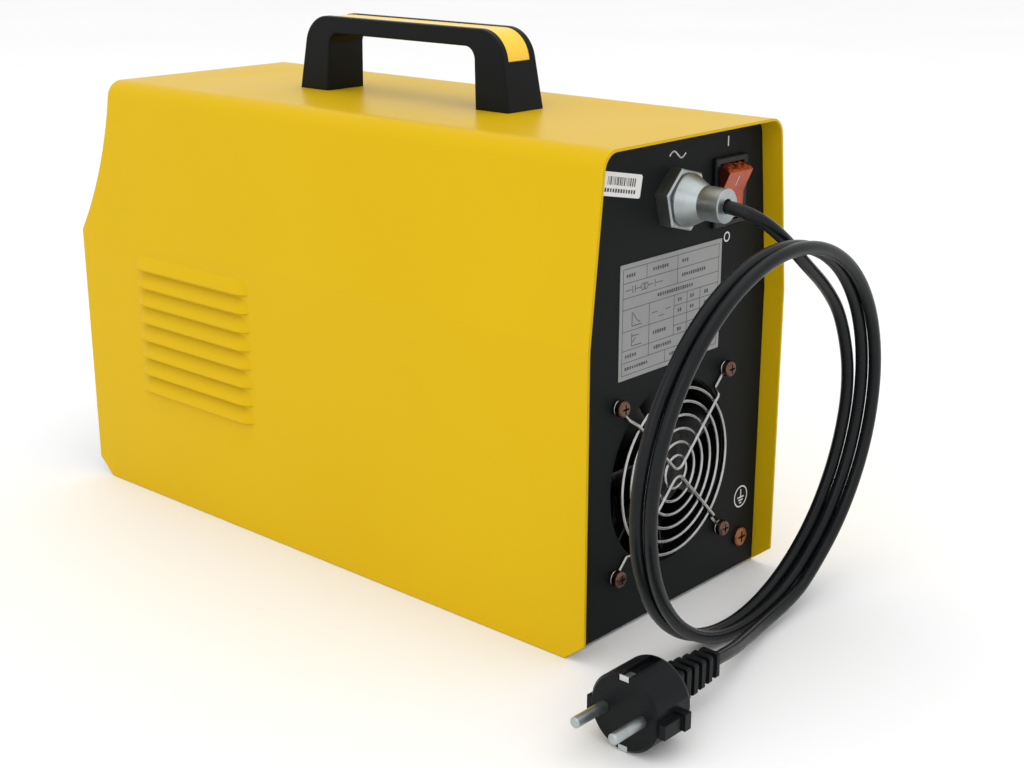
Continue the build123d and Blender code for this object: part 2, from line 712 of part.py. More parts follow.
KNOB_R = 16.0
KNOB_FLUTES = 24
with BuildPart() as current_knob:
    with BuildSketch(CONTROL.offset(0.6)):
        with Locations((0, KNOB_UP)):
            Circle(KNOB_R)
    extrude(amount=3)
    with BuildSketch(CONTROL.offset(3.6)):
        with Locations((0, KNOB_UP)):
            Circle(KNOB_R - 2)
            with PolarLocations(KNOB_R - 1.6, KNOB_FLUTES):
                Circle(0.9, mode=Mode.SUBTRACT)
    extrude(amount=11)
    with BuildSketch(CONTROL.offset(14.1)):
        with Locations((0, KNOB_UP + 7)):
            Rectangle(1.4, 10)
    extrude(amount=1.0, mode=Mode.SUBTRACT)
    with BuildSketch(CONTROL.offset(0.5)):
        with Locations((0, KNOB_UP)):
            Circle(9.0)
    extrude(amount=7.0, mode=Mode.SUBTRACT)
    with BuildSketch(CONTROL.offset(0.5)):
        with Locations((0, KNOB_UP)):
            Circle(SHAFT_KNOB_R)
    extrude(amount=12.0, mode=Mode.SUBTRACT)
save(current_knob.part, "current_knob")

with BuildPart() as knob_shaft:
    with BuildSketch(CONTROL.offset(-PANEL - 7.5)):
        with Locations((0, KNOB_UP)):
            Circle(SHAFT_KNOB_R)
    extrude(amount=PANEL + 7.5 + 12.4)
save(knob_shaft.part, "knob_shaft")

for lamp_name, lamp_x in (("power_lamp", LAMPS_X[0]), ("fault_lamp", LAMPS_X[1])):
    with BuildPart() as lamp:
        with BuildSketch(CONTROL.offset(0.05)):
            with Locations((lamp_x, LAMP_UP)):
                Circle(5.2)
        extrude(amount=1.2)
        with BuildSketch(CONTROL.offset(-8)):
            with Locations((lamp_x, LAMP_UP)):
                Circle(4.0)
        extrude(amount=11)
        fillet(lamp.edges().filter_by(GeomType.CIRCLE).sort_by(Axis.Y)[0], radius=1.6)
    save(lamp.part, lamp_name)

STANDOFFS = [(x, y) for x in (-44, 44) for y in (-24, 22)]
with BuildPart() as control_standoffs:
    with BuildSketch(CONTROL.offset(-PANEL - 0.02)):
        with Locations(*STANDOFFS):
            RegularPolygon(3.2, 6)
    extrude(amount=-(BOARD_GAP - PANEL - 0.04))

with BuildPart() as control_board:
    with BuildSketch(CONTROL.offset(-BOARD_GAP)):
        Rectangle(100, 58)
    extrude(amount=-1.6)
save(control_board.part, "control_board")

# ---- output sockets on the front: twist-lock brass bodies in insulating flanges ----
SOCKET_FLANGE_R = 15.5
SOCKET_FLANGE_T = 9.5
BRASS_R = 8.4
BRASS_FACE = FRONT_FACE - SOCKET_FLANGE_T + 4.0
BRASS_LEN = 28.0
SOCKET_DEPTH = 20.0
STUD_R = 4.0

with BuildPart() as socket_insulator:
    with BuildSketch(rear_plane(FRONT_FACE - 0.03)):
        Circle(SOCKET_FLANGE_R)
    extrude(amount=SOCKET_FLANGE_T - 0.03)
    fillet(socket_insulator.faces().sort_by(Axis.Y)[0].edges(), radius=2.0)
    with BuildSketch(rear_plane(FRONT_FACE + 9)):
        Circle(11.0)
    extrude(amount=10)
    with BuildSketch(rear_plane(0)):
        Circle(BRASS_R)
        with Locations((0, BRASS_R)):
            Rectangle(4.0, 3.0)
    extrude(amount=half_l, mode=Mode.SUBTRACT)

for name, x in (("negative", -SOCKET_X), ("positive", SOCKET_X)):
    save(socket_insulator.part.moved(Location((x, 0, SOCKET_Z))), f"{name}_socket_insulator")
    with BuildPart() as socket_brass:
        with BuildSketch(rear_plane(BRASS_FACE + BRASS_LEN)):
            with Locations((x, SOCKET_Z)):
                Circle(BRASS_R)
        extrude(amount=BRASS_LEN)
        with BuildSketch(rear_plane(BRASS_FACE + BRASS_LEN + 14)):
            with Locations((x, SOCKET_Z)):
                Circle(STUD_R)
        extrude(amount=15)
        with BuildSketch(rear_plane(BRASS_FACE + SOCKET_DEPTH)):
            with Locations((x, SOCKET_Z)):
                Circle(SOCKET_BORE_R)
        extrude(amount=SOCKET_DEPTH + 1, mode=Mode.SUBTRACT)
    save(socket_brass.part, f"{name}_socket_contact")

with BuildPart() as socket_nuts:
    with BuildSketch(rear_plane(FRONT_FACE + PANEL + 4.05)):
        with Locations((-SOCKET_X, SOCKET_Z), (SOCKET_X, SOCKET_Z)):
            RegularPolygon(15.0, 6)
            Circle(11.0, mode=Mode.SUBTRACT)
    extrude(amount=4.0)
save(socket_nuts.part, "socket_nuts")

BAR_Y = BRASS_FACE + BRASS_LEN + 3.0
with BuildPart() as bus_bars:
    for side in (-1, 1):
        with BuildSketch(rear_plane(BAR_Y)):
            with Locations((side * (SOCKET_X + 1), SOCKET_Z)):
                Rectangle(18, 14)
            with Locations((side * SOCKET_X, SOCKET_Z)):
                Circle(STUD_R, mode=Mode.SUBTRACT)
        extrude(amount=2)
        with Locations((side * (SOCKET_X + 9), BAR_Y + 40, SOCKET_Z)):
            Box(2, 84, 14)
save(bus_bars.part, "bus_bars")

with BuildPart() as terminal_nuts:
    add(earth_nut.part)
    with BuildSketch(rear_plane(BAR_Y + 6.55)):
        with Locations((-SOCKET_X, SOCKET_Z), (SOCKET_X, SOCKET_Z)):
            RegularPolygon(7.0, 6)
            Circle(STUD_R, mode=Mode.SUBTRACT)
    extrude(amount=6.5)
save(terminal_nuts.part, "terminal_nuts")

# ---- power stage: heatsinks in the fan's draught, transistors, board and its parts ----
SINK_Y0, SINK_Y1 = -40.0, 120.0
SINK_X0, SINK_X1 = 5.0, 67.0
SINK_Z0, SINK_Z1 = 14.0, 78.0
FIN_COUNT = 9
FIN_T = 2.2

with BuildPart() as heatsinks:
    with BuildSketch(rear_plane(SINK_Y1)):
        for side in (-1, 1):
            with Locations((side * (SINK_X0 + SINK_X1) / 2, SINK_Z1 - 4)):
                Rectangle(SINK_X1 - SINK_X0, 8)
            for fin in range(FIN_COUNT):
                fin_x = SINK_X0 + FIN_T / 2 + fin * (SINK_X1 - SINK_X0 - FIN_T) / (FIN_COUNT - 1)
                with Locations((side * fin_x, (SINK_Z0 + SINK_Z1) / 2)):
                    Rectangle(FIN_T, SINK_Z1 - SINK_Z0)
    extrude(amount=SINK_Y1 - SINK_Y0)
save(heatsinks.part, "heatsinks")

FEET = [(side * x, y) for side in (-1, 1) for x in (14, 58) for y in (SINK_Y0 + 12, SINK_Y1 - 12)]
with BuildPart() as heatsink_feet:
    with BuildSketch(Plane.XY.offset(TRAY_TOP)):
        with Locations(*FEET):
            RectangleRounded(18, 14, 2)
    extrude(amount=SINK_Z0 - TRAY_TOP)
save(heatsink_feet.part, "heatsink_feet")

with BuildPart() as power_transistors:
    with BuildSketch(Plane.XY.offset(SINK_Z1)):
        with Locations(*[(x, y) for x in (-36, 36) for y in (-20, 10, 70, 100)]):
            RectangleRounded(16, 21, 0.6)
            Circle(1.8, mode=Mode.SUBTRACT)
    extrude(amount=5)
save(power_transistors.part, "power_transistors")

BOARD_Z = 93.0
BOARD_T = 1.6
POSTS = [(x, y) for x in (-60, 60) for y in (SINK_Y0 + 8, SINK_Y1 - 8)]
with BuildPart() as standoffs:
    add(control_standoffs.part)
    with BuildSketch(Plane.XY.offset(SINK_Z1)):
        with Locations(*POSTS):
            RegularPolygon(3.6, 6)
    extrude(amount=BOARD_Z - SINK_Z1)
save(standoffs.part, "standoffs")

with BuildPart() as power_board:
    with BuildSketch(Plane.XY.offset(BOARD_Z)):
        with Locations((0, (SINK_Y0 + SINK_Y1) / 2)):
            Rectangle(134, SINK_Y1 - SINK_Y0)
    extrude(amount=BOARD_T)
save(power_board.part, "power_board")

board_top = BOARD_Z + BOARD_T
CAPACITORS = [(-38, -18), (0, -18), (38, -18), (-38, 20)]
with BuildPart() as capacitors:
    with BuildSketch(Plane.XY.offset(board_top)):
        with Locations(*CAPACITORS):
            Circle(15)
    extrude(amount=45)
    fillet(capacitors.faces().group_by(Axis.Z)[-1].edges(), radius=1.5)
save(capacitors.part, "capacitors")

with BuildPart() as bridge_rectifier:
    with BuildSketch(Plane.XY.offset(board_top)):
        with Locations((-34, 66)):
            RectangleRounded(28, 28, 2)
            Circle(2.5, mode=Mode.SUBTRACT)
    extrude(amount=10)
save(bridge_rectifier.part, "bridge_rectifier")

with BuildPart() as start_relay:
    with BuildSketch(Plane.XY.offset(board_top)):
        with Locations((28, 66)):
            RectangleRounded(30, 16, 1)
    extrude(amount=20)
save(start_relay.part, "start_relay")

# ---- transformer and output choke ----
CORE_Y = -84.0
CORE_Z0, CORE_Z1 = TRAY_TOP, 62.0
with BuildPart() as transformer_core:
    with BuildSketch(rear_plane(CORE_Y + 14)):
        with Locations((0, (CORE_Z0 + CORE_Z1) / 2)):
            Rectangle(64, CORE_Z1 - CORE_Z0)
        with Locations((-15.5, (CORE_Z0 + CORE_Z1) / 2), (15.5, (CORE_Z0 + CORE_Z1) / 2)):
            Rectangle(15, 38, mode=Mode.SUBTRACT)
    extrude(amount=28)
save(transformer_core.part, "transformer_core")

with BuildPart() as transformer_winding:
    with BuildSketch(Plane.XY.offset((CORE_Z0 + CORE_Z1) / 2 - 18)):
        with Locations((0, CORE_Y)):
            RectangleRounded(44, 54, 8)
            Rectangle(16.4, 28.4, mode=Mode.SUBTRACT)
    extrude(amount=36)
save(transformer_winding.part, "transformer_winding")

CHOKE = Plane(origin=(0, -135.0, TRAY_TOP + 7.3))
with BuildPart() as choke_core:
    with Locations(CHOKE):
        Torus(14.0, 5.0)
save(choke_core.part, "choke_core")

with BuildPart() as choke_winding:
    for turn in range(12):
        angle = math.radians(360 / 12 * turn)
        along = (-math.sin(angle), math.cos(angle), 0)
        spot = (14.0 * math.cos(angle), CHOKE.origin.Y + 14.0 * math.sin(angle), CHOKE.origin.Z)
        with Locations(Plane(origin=spot, z_dir=along)):
            Torus(6.2, 1.1)
save(choke_winding.part, "choke_winding")


def bend_radii(points):
    """Radius for each corner of a route: as large as its two runs allow."""
    spots = [Vector(*p) for p in points]
    radii = []
    for before, here, after in zip(spots, spots[1:], spots[2:]):
        turn = (here - before).get_angle(after - here)
        run = min((here - before).length, (after - here).length)
        radii.append(0.45 * run / math.tan(math.radians(turn / 2)))
    return radii


def cord_tube(points, diameter, name):
    """Tube along a route: straight runs joined by tangent arcs. Prints its radii, length and fill."""
    radii = bend_radii(points)
    with BuildLine() as path:
        FilletPolyline(*points, radius=radii)
    route = path.wires()[0]
    with BuildPart() as tube:
        with BuildSketch(Plane(origin=route @ 0, z_dir=route % 0)):
            Circle(diameter / 2)
        sweep(path=route)
    expected = math.pi * diameter ** 2 / 4 * route.length
    print(name, "radii", [round(r, 1) for r in radii], "length", round(route.length, 1),
          "volume / (section x length)", round(tube.part.volume / expected, 3))
    return tube.part


# ---- wiring inside ----
INLET_Y = REAR_FACE - 12.0
live_wire = cord_tube(
    [
        (GLAND_X - 2, INLET_Y, GLAND_Z + 2.5),
        (GLAND_X - 3, 144, GLAND_Z + 4),
        (-10, 130, GLAND_Z + 5),
        (-26, 124, GLAND_Z + 5.5),
        (SWITCH_X + 7, 129, SWITCH_Z + 7.2),
        (SWITCH_X + 5.5, REAR_FACE - 33.5, SWITCH_Z + 7),
    ],
    2.6,
    "live wire",
)
neutral_wire = cord_tube(
    [
        (GLAND_X + 2, INLET_Y, GLAND_Z - 1.5),
        (GLAND_X + 2, 142, GLAND_Z - 6),
        (-6, 126, GLAND_Z - 10),
        (-24, 118, GLAND_Z - 11),
        (SWITCH_X + 6, 125, SWITCH_Z - 7.8),
        (SWITCH_X + 5.5, REAR_FACE - 33.5, SWITCH_Z - 7),
    ],
    2.6,
    "neutral wire",
)
with BuildPart() as switch_wires:
    add(live_wire)
    add(neutral_wire)
save(switch_wires.part, "switch_wires")

earth_wire = cord_tube(
    [
        (GLAND_X - 2.2, INLET_Y, GLAND_Z - 2),
        (GLAND_X - 6, 146, GLAND_Z - 14),
        (-20, 136, 166),
        (-38, 134, 146),
        (-52, 136, 122),
        (-58, 138, 96),
        (-60, 146, 70),
        (EARTH_X, 158, 50),
        (EARTH_X + 0.2, REAR_FACE - PANEL - 2.6, EARTH_Z + 15),
    ],
    2.8,
    "earth wire",
)
save(earth_wire, "earth_wire")

# ---- mains lead: out of the gland, an upright coil behind the case, and on to the plug ----
COIL_X, COIL_Z = 4.9, 95.1
COIL_RX, COIL_RZ = 86.8, 92.0
COIL_Y = 211.0          # where the first turn would touch the floor
COIL_LEAN = 0.08        # the coil leans away from the case by this much per unit of height
COIL_STEP_Y = 6.1       # each turn lies beside the last
COIL_STEP_X = -2.2
COIL_START, COIL_END = -0.12, 2.16   # turns, counted from the -X side, going down first


def coil_plane(turn, shift):
    """Plane of the coil at a turn, moved along Y by shift; local x is +X, local y is up the lean."""
    origin = (COIL_X + COIL_STEP_X * turn, COIL_Y + COIL_LEAN * COIL_Z + COIL_STEP_Y * turn + shift, COIL_Z)
    return Plane(origin=origin, x_dir=(1, 0, 0), z_dir=(0, -1, COIL_LEAN))


def coil_cylinder(grow):
    """Oblique oval cylinder through all the turns, its radius that of the cord's line plus grow."""
    with BuildPart() as body:
        with BuildSketch(coil_plane(COIL_START, -CORD_D / 2)):
            Ellipse(COIL_RX + grow, COIL_RZ + grow)
        with BuildSketch(coil_plane(COIL_END, CORD_D / 2)):
            Ellipse(COIL_RX + grow, COIL_RZ + grow)
        loft(ruled=True)
    return body.part


with BuildPart() as cord_coil:
    add(coil_cylinder(CORD_D / 2))
    add(coil_cylinder(-CORD_D / 2), mode=Mode.SUBTRACT)
save(cord_coil.part, "cord_coil")

cord_lead = cord_tube(
    [
        (GLAND_X, 192.0, GLAND_Z),
        (GLAND_X, 207.5, GLAND_Z),
        (-2.6, 218.4, 195.0),
        (-12.6, 223.2, 186.2),
        (-29.0, 222.8, 173.4),
        (-51.0, 221.6, 155.5),
        (-66.0, 220.5, 139.0),
    ],
    CORD_D,
    "cord lead",
)
save(cord_lead, "cord_lead")

PLUG_Y, PLUG_Z = 243.5, 17.2
PLUG_FACE_X = 121.7
PLUG_BACK_X = 97.7
RELIEF_END_X = 61.2
cord_tail = cord_tube(
    [
        (-30.0, 225.0, 8.0),
        (-4.0, 227.0, 5.6),
        (22.0, 233.5, 8.6),
        (43.0, 240.6, 13.6),
        (RELIEF_END_X + 1.0, PLUG_Y, PLUG_Z),
    ],
    CORD_D,
    "cord tail",
)
save(cord_tail, "cord_tail")

# ---- mains plug: moulded body, two pins, earth strips, ribbed strain relief ----
PLUG_R = 17.2
PIN_R = 2.4
PIN_LEN = 19.0
PIN_GAP = 19.3
plug_face = Plane(origin=(PLUG_FACE_X, PLUG_Y, PLUG_Z), x_dir=(0, 1, 0), z_dir=(1, 0, 0))

with BuildPart() as plug_body:
    with BuildSketch(plug_face.offset(PLUG_BACK_X - PLUG_FACE_X)):
        Circle(PLUG_R)
    extrude(amount=PLUG_FACE_X - PLUG_BACK_X)
    fillet(plug_body.faces().sort_by(Axis.X)[0].edges(), radius=3.0)
    chamfer(plug_body.faces().sort_by(Axis.X)[-1].edges(), length=1.2)
    with Locations((PLUG_BACK_X, PLUG_Y, PLUG_Z)):
        Box(100, 2 * PLUG_R - 1.4, 4 * PLUG_R, mode=Mode.INTERSECT)
    for side in (-1, 1):
        with Locations((PLUG_FACE_X - 9.4, PLUG_Y + side * (PLUG_R + 0.2), PLUG_Z - 2.4)):
            Box(15.6, 5.0, 6.4)
        with Locations((PLUG_FACE_X - 15.2, PLUG_Y + side * (PLUG_R + 0.9), PLUG_Z - 2.0)):
            Box(4.0, 6.4, 7.6)
        with Locations((PLUG_FACE_X - 10, PLUG_Y, PLUG_Z + side * (PLUG_R - 0.8))):
            Box(24, 5.4, 4.4, mode=Mode.SUBTRACT)
    with BuildSketch(plug_face):
        with Locations((-PIN_GAP / 2, 0), (PIN_GAP / 2, 0)):
            Circle(PIN_R)
    extrude(amount=-14, mode=Mode.SUBTRACT)
save(plug_body.part, "plug_body")

with BuildPart() as plug_pins:
    with BuildSketch(plug_face.offset(-14)):
        with Locations((-PIN_GAP / 2, 0), (PIN_GAP / 2, 0)):
            Circle(PIN_R)
    extrude(amount=14 + PIN_LEN)
    chamfer(plug_pins.faces().filter_by(Axis.X).group_by(Axis.X)[-1].edges(), length=0.6)
save(plug_pins.part, "plug_pins")

with BuildPart() as plug_earth_strips:
    for side in (-1, 1):
        with Locations((PLUG_FACE_X - 3.8, PLUG_Y, PLUG_Z + side * (PLUG_R - 2.45))):
            Box(7, 4.6, 1.0)
        with Locations((PLUG_FACE_X - 0.7, PLUG_Y, PLUG_Z + side * (PLUG_R - 1.65))):
            Box(0.8, 4.6, 2.6)
save(plug_earth_strips.part, "plug_earth_strips")

RELIEF_RIBS = 6
RIB_T = 3.4
rib_pitch = (PLUG_BACK_X - RELIEF_END_X - RIB_T) / RELIEF_RIBS
with BuildPart() as plug_strain_relief:
    with BuildSketch(plug_face.offset(PLUG_BACK_X - PLUG_FACE_X)):
        RectangleRounded(9.5, 12.5, 2.5)
    with BuildSketch(plug_face.offset(RELIEF_END_X - PLUG_FACE_X)):
        RectangleRounded(7.6, 8.6, 2.5)
    loft()
    for rib in range(RELIEF_RIBS + 1):
        share = rib / RELIEF_RIBS
        with BuildSketch(plug_face.offset(RELIEF_END_X - PLUG_FACE_X + rib * rib_pitch)):
            RectangleRounded(9.6 + 3.0 * share, 11.5 + 5.0 * share, 1.2)
        extrude(amount=RIB_T - 1.2 + 1.2 * share)
    with BuildSketch(plug_face.offset(RELIEF_END_X - PLUG_FACE_X - 1)):
        Circle(CORD_D / 2)
    extrude(amount=2.0, mode=Mode.SUBTRACT)
save(plug_strain_relief.part, "plug_strain_relief")
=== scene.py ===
"""Looks of a stick welding inverter around its CAD frame. Metres, +Z up, rear panel towards +Y."""
import bpy
import bmesh
import json
import math
import random
from mathutils import Matrix, Vector


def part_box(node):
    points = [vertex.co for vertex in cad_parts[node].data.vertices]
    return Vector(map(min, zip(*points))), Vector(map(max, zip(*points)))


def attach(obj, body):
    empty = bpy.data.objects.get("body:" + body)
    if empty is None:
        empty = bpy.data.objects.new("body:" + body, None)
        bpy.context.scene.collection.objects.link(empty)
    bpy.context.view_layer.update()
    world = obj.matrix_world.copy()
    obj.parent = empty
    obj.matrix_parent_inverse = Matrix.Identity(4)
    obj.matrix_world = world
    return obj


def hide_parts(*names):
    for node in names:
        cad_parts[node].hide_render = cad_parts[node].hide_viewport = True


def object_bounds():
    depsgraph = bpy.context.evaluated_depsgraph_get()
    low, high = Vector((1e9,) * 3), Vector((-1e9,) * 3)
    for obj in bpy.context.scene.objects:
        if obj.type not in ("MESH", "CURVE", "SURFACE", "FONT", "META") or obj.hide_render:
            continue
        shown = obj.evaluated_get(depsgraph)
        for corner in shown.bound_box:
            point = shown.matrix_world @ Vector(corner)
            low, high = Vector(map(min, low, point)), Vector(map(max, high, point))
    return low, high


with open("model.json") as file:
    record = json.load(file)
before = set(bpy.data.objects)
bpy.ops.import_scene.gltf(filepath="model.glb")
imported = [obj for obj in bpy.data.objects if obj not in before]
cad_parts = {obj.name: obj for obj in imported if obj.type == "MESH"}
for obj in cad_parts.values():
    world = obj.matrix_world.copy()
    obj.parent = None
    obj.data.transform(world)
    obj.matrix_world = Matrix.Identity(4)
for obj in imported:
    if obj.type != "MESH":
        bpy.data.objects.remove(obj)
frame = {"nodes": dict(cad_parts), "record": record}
cad_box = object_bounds()
nodes = frame["nodes"]
MM = 0.001

# ---------------------------------------------------------------- camera
LENS_MM = 56.87
CAMERA_AT = Vector((0.5814, 0.5971, 0.3394))
CAMERA_YAW, CAMERA_PITCH = -138.04, -17.605

camera_data = bpy.data.cameras.new("camera")
camera_data.sensor_width = 36.0
camera_data.lens = LENS_MM
camera_data.clip_start = 0.01
camera = bpy.data.objects.new("camera", camera_data)
camera.location = CAMERA_AT
camera.rotation_euler = (math.radians(90 + CAMERA_PITCH), 0, math.radians(CAMERA_YAW - 90))
bpy.context.scene.collection.objects.link(camera)
bpy.context.scene.camera = camera


# ---------------------------------------------------------------- node helpers
def new_material(name):
    """Material with an empty principled shader; returns it, its node tree and the shader."""
    material = bpy.data.materials.new(name)
    material.use_nodes = True
    tree = material.node_tree
    return material, tree, tree.nodes["Principled BSDF"]


def noise(tree, scale, detail=3.0, roughness=0.55):
    """Noise in the object's own coordinates, where one unit is a metre."""
    coords = tree.nodes.new("ShaderNodeTexCoord")
    texture = tree.nodes.new("ShaderNodeTexNoise")
    texture.inputs["Scale"].default_value = scale
    texture.inputs["Detail"].default_value = detail
    texture.inputs["Roughness"].default_value = roughness
    tree.links.new(coords.outputs["Object"], texture.inputs["Vector"])
    return texture


def spread(tree, source, low, high):
    """Maps a 0 to 1 value, most of which lies near 0.5, to a range."""
    ramp = tree.nodes.new("ShaderNodeMapRange")
    ramp.inputs["From Min"].default_value = 0.3
    ramp.inputs["From Max"].default_value = 0.7
    ramp.inputs["To Min"].default_value = low
    ramp.inputs["To Max"].default_value = high
    tree.links.new(source, ramp.inputs["Value"])
    return ramp.outputs["Result"]


def tint(tree, shader, factor, dark, light):
    """Base colour that wanders between two close tones."""
    mix = tree.nodes.new("ShaderNodeMix")
    mix.data_type = "RGBA"
    mix.inputs["A"].default_value = (*dark, 1)
    mix.inputs["B"].default_value = (*light, 1)
    tree.links.new(factor, mix.inputs["Factor"])
    tree.links.new(mix.outputs["Result"], shader.inputs["Base Color"])


def bump(tree, shader, height, strength, distance, edge=0.0):
    """Surface relief, over edges rounded by the radius edge."""
    relief = tree.nodes.new("ShaderNodeBump")
    relief.inputs["Strength"].default_value = strength
    relief.inputs["Distance"].default_value = distance
    tree.links.new(height, relief.inputs["Height"])
    if edge > 0:
        rounded = tree.nodes.new("ShaderNodeBevel")
        rounded.samples = 4
        rounded.inputs["Radius"].default_value = edge
        tree.links.new(rounded.outputs["Normal"], relief.inputs["Normal"])
    tree.links.new(relief.outputs["Normal"], shader.inputs["Normal"])


def grained(name, dark, light, rough, grain, relief, edge=0.0, metallic=0.0, specular=0.5, mottle=30.0):
    """Moulded, painted or cast finish: two close tones, fine grain and uneven gloss."""
    material, tree, shader = new_material(name)
    shader.inputs["Metallic"].default_value = metallic
    shader.inputs["Specular IOR Level"].default_value = specular
    broad = noise(tree, mottle)
    fine = noise(tree, grain, 2.0)
    tint(tree, shader, spread(tree, broad.outputs["Fac"], 0.0, 1.0), dark, light)
    gloss = spread(tree, broad.outputs["Fac"], rough[0], rough[1])
    tree.links.new(gloss, shader.inputs["Roughness"])
    bump(tree, shader, fine.outputs["Fac"], relief, 0.0002, edge)
    return material


def plated(name, color, rough, streak=600.0, relief=0.05, edge=0.0002):
    """Turned or drawn metal with fine streaks along it and slight tarnish."""
    dark = tuple(c * 0.8 for c in color)
    material = grained(name, dark, color, rough, streak, relief, edge, metallic=1.0, mottle=160.0)
    return material


# ---------------------------------------------------------------- materials
YELLOW = (0.668, 0.430, 0.0058)
YELLOW_DARK = (0.650, 0.418, 0.0052)
finishes = {
    "yellow_paint": grained("yellow_paint", YELLOW_DARK, YELLOW, (0.30, 0.38), 1500, 0.10, 0.0008,
                            specular=0.06, mottle=9.0),
    "zinc_steel": plated("zinc_steel", (0.62, 0.63, 0.64), (0.3, 0.5), 300),
    "zinc_screw": plated("zinc_screw", (0.70, 0.69, 0.64), (0.25, 0.4)),
    "black_panel": grained("black_panel", (0.0058, 0.0074, 0.0078), (0.0095, 0.0110, 0.0114), (0.5, 0.62), 2600,
                           0.22, 0.0003, specular=0.09, mottle=22.0),
    "handle_black": grained("handle_black", (0.0045, 0.0060, 0.0063), (0.0062, 0.0076, 0.0078), (0.33, 0.42), 2200,
                            0.15, 0.0009, specular=0.10),
    "inlay_yellow": grained("inlay_yellow", (0.93, 0.58, 0.030), (0.95, 0.62, 0.035), (0.22, 0.30), 900,
                            0.04, 0.0004, specular=0.45),
    "fan_black": grained("fan_black", (0.004, 0.0045, 0.005), (0.007, 0.0078, 0.008), (0.22, 0.32), 1800,
                         0.12, 0.0006, specular=0.3),
    "copper": plated("copper", (0.80, 0.36, 0.17), (0.25, 0.4)),
    "chrome_wire": plated("chrome_wire", (0.50, 0.50, 0.50), (0.12, 0.26), 900, 0.04, 0.0),
    "bronze_screw": plated("bronze_screw", (0.16, 0.092, 0.068), (0.24, 0.42), 1500, 0.10),
    "copper_screw": plated("copper_screw", (0.34, 0.135, 0.070), (0.26, 0.44), 1500, 0.10),
    "tinned": plated("tinned", (0.66, 0.67, 0.68), (0.25, 0.4)),
    "nickel": plated("nickel", (0.43, 0.47, 0.48), (0.34, 0.42), 1100, 0.05, 0.0004),
    "rubber_black": grained("rubber_black", (0.010, 0.010, 0.011), (0.015, 0.015, 0.016), (0.6, 0.75), 2000,
                            0.15, specular=0.25),
    "switch_black": grained("switch_black", (0.004, 0.004, 0.0045), (0.006, 0.006, 0.0065), (0.26, 0.34), 2600,
                            0.08, 0.0004, specular=0.2),
    "label_silver": grained("label_silver", (0.25, 0.25, 0.25), (0.29, 0.29, 0.29), (0.34, 0.46), 1200,
                            0.05, metallic=0.25, mottle=45.0),
    "label_white": grained("label_white", (0.74, 0.74, 0.73), (0.80, 0.80, 0.79), (0.5, 0.6), 1500, 0.08),
    "pot_metal": plated("pot_metal", (0.62, 0.62, 0.62), (0.3, 0.45)),
    "board_green": grained("board_green", (0.010, 0.10, 0.045), (0.015, 0.14, 0.06), (0.3, 0.4), 900, 0.1, 0.0002),
    "brass": plated("brass", (0.80, 0.58, 0.22), (0.2, 0.35)),
    "aluminium": plated("aluminium", (0.76, 0.77, 0.78), (0.3, 0.45)),
    "chip_black": grained("chip_black", (0.012, 0.012, 0.012), (0.02, 0.02, 0.02), (0.5, 0.65), 2500, 0.2, 0.0002),
    "capacitor_sleeve": grained("capacitor_sleeve", (0.008, 0.012, 0.05), (0.012, 0.018, 0.07), (0.2, 0.3), 300,
                                0.05, 0.0004),
    "relay_case": grained("relay_case", (0.02, 0.06, 0.25), (0.03, 0.08, 0.3), (0.35, 0.45), 1500, 0.1, 0.0003),
    "ferrite": grained("ferrite", (0.02, 0.02, 0.021), (0.035, 0.035, 0.036), (0.55, 0.7), 900, 0.25, 0.0004),
    "wire_brown": grained("wire_brown", (0.09, 0.025, 0.010), (0.11, 0.03, 0.012), (0.35, 0.45), 600, 0.05),
    "wire_green": grained("wire_green", (0.05, 0.25, 0.03), (0.45, 0.42, 0.03), (0.35, 0.45), 600, 0.05),
    "cord_black": grained("cord_black", (0.0042, 0.0058, 0.0064), (0.0066, 0.0084, 0.0092), (0.24, 0.34), 1300,
                          0.06, specular=0.20, mottle=60.0),
    "plug_black": grained("plug_black", (0.0040, 0.0054, 0.0060), (0.0058, 0.0073, 0.0081), (0.28, 0.40), 1900,
                          0.12, 0.0006, specular=0.12, mottle=70.0),
    "ink_white": grained("ink_white", (0.60, 0.61, 0.61), (0.72, 0.73, 0.73), (0.5, 0.6), 3000, 0.1),
    "ink_black": grained("ink_black", (0.030, 0.030, 0.030), (0.055, 0.055, 0.055), (0.45, 0.6), 3000, 0.1),
}


def translucent(name, dark, light, clear):
    """Coloured see-through plastic, cloudy inside."""
    material = grained(name, dark, light, (0.16, 0.24), 1200, 0.05, 0.0005, specular=0.2, mottle=260.0)
    shader = material.node_tree.nodes["Principled BSDF"]
    shader.inputs["Transmission Weight"].default_value = clear
    shader.inputs["IOR"].default_value = 1.5
    return material



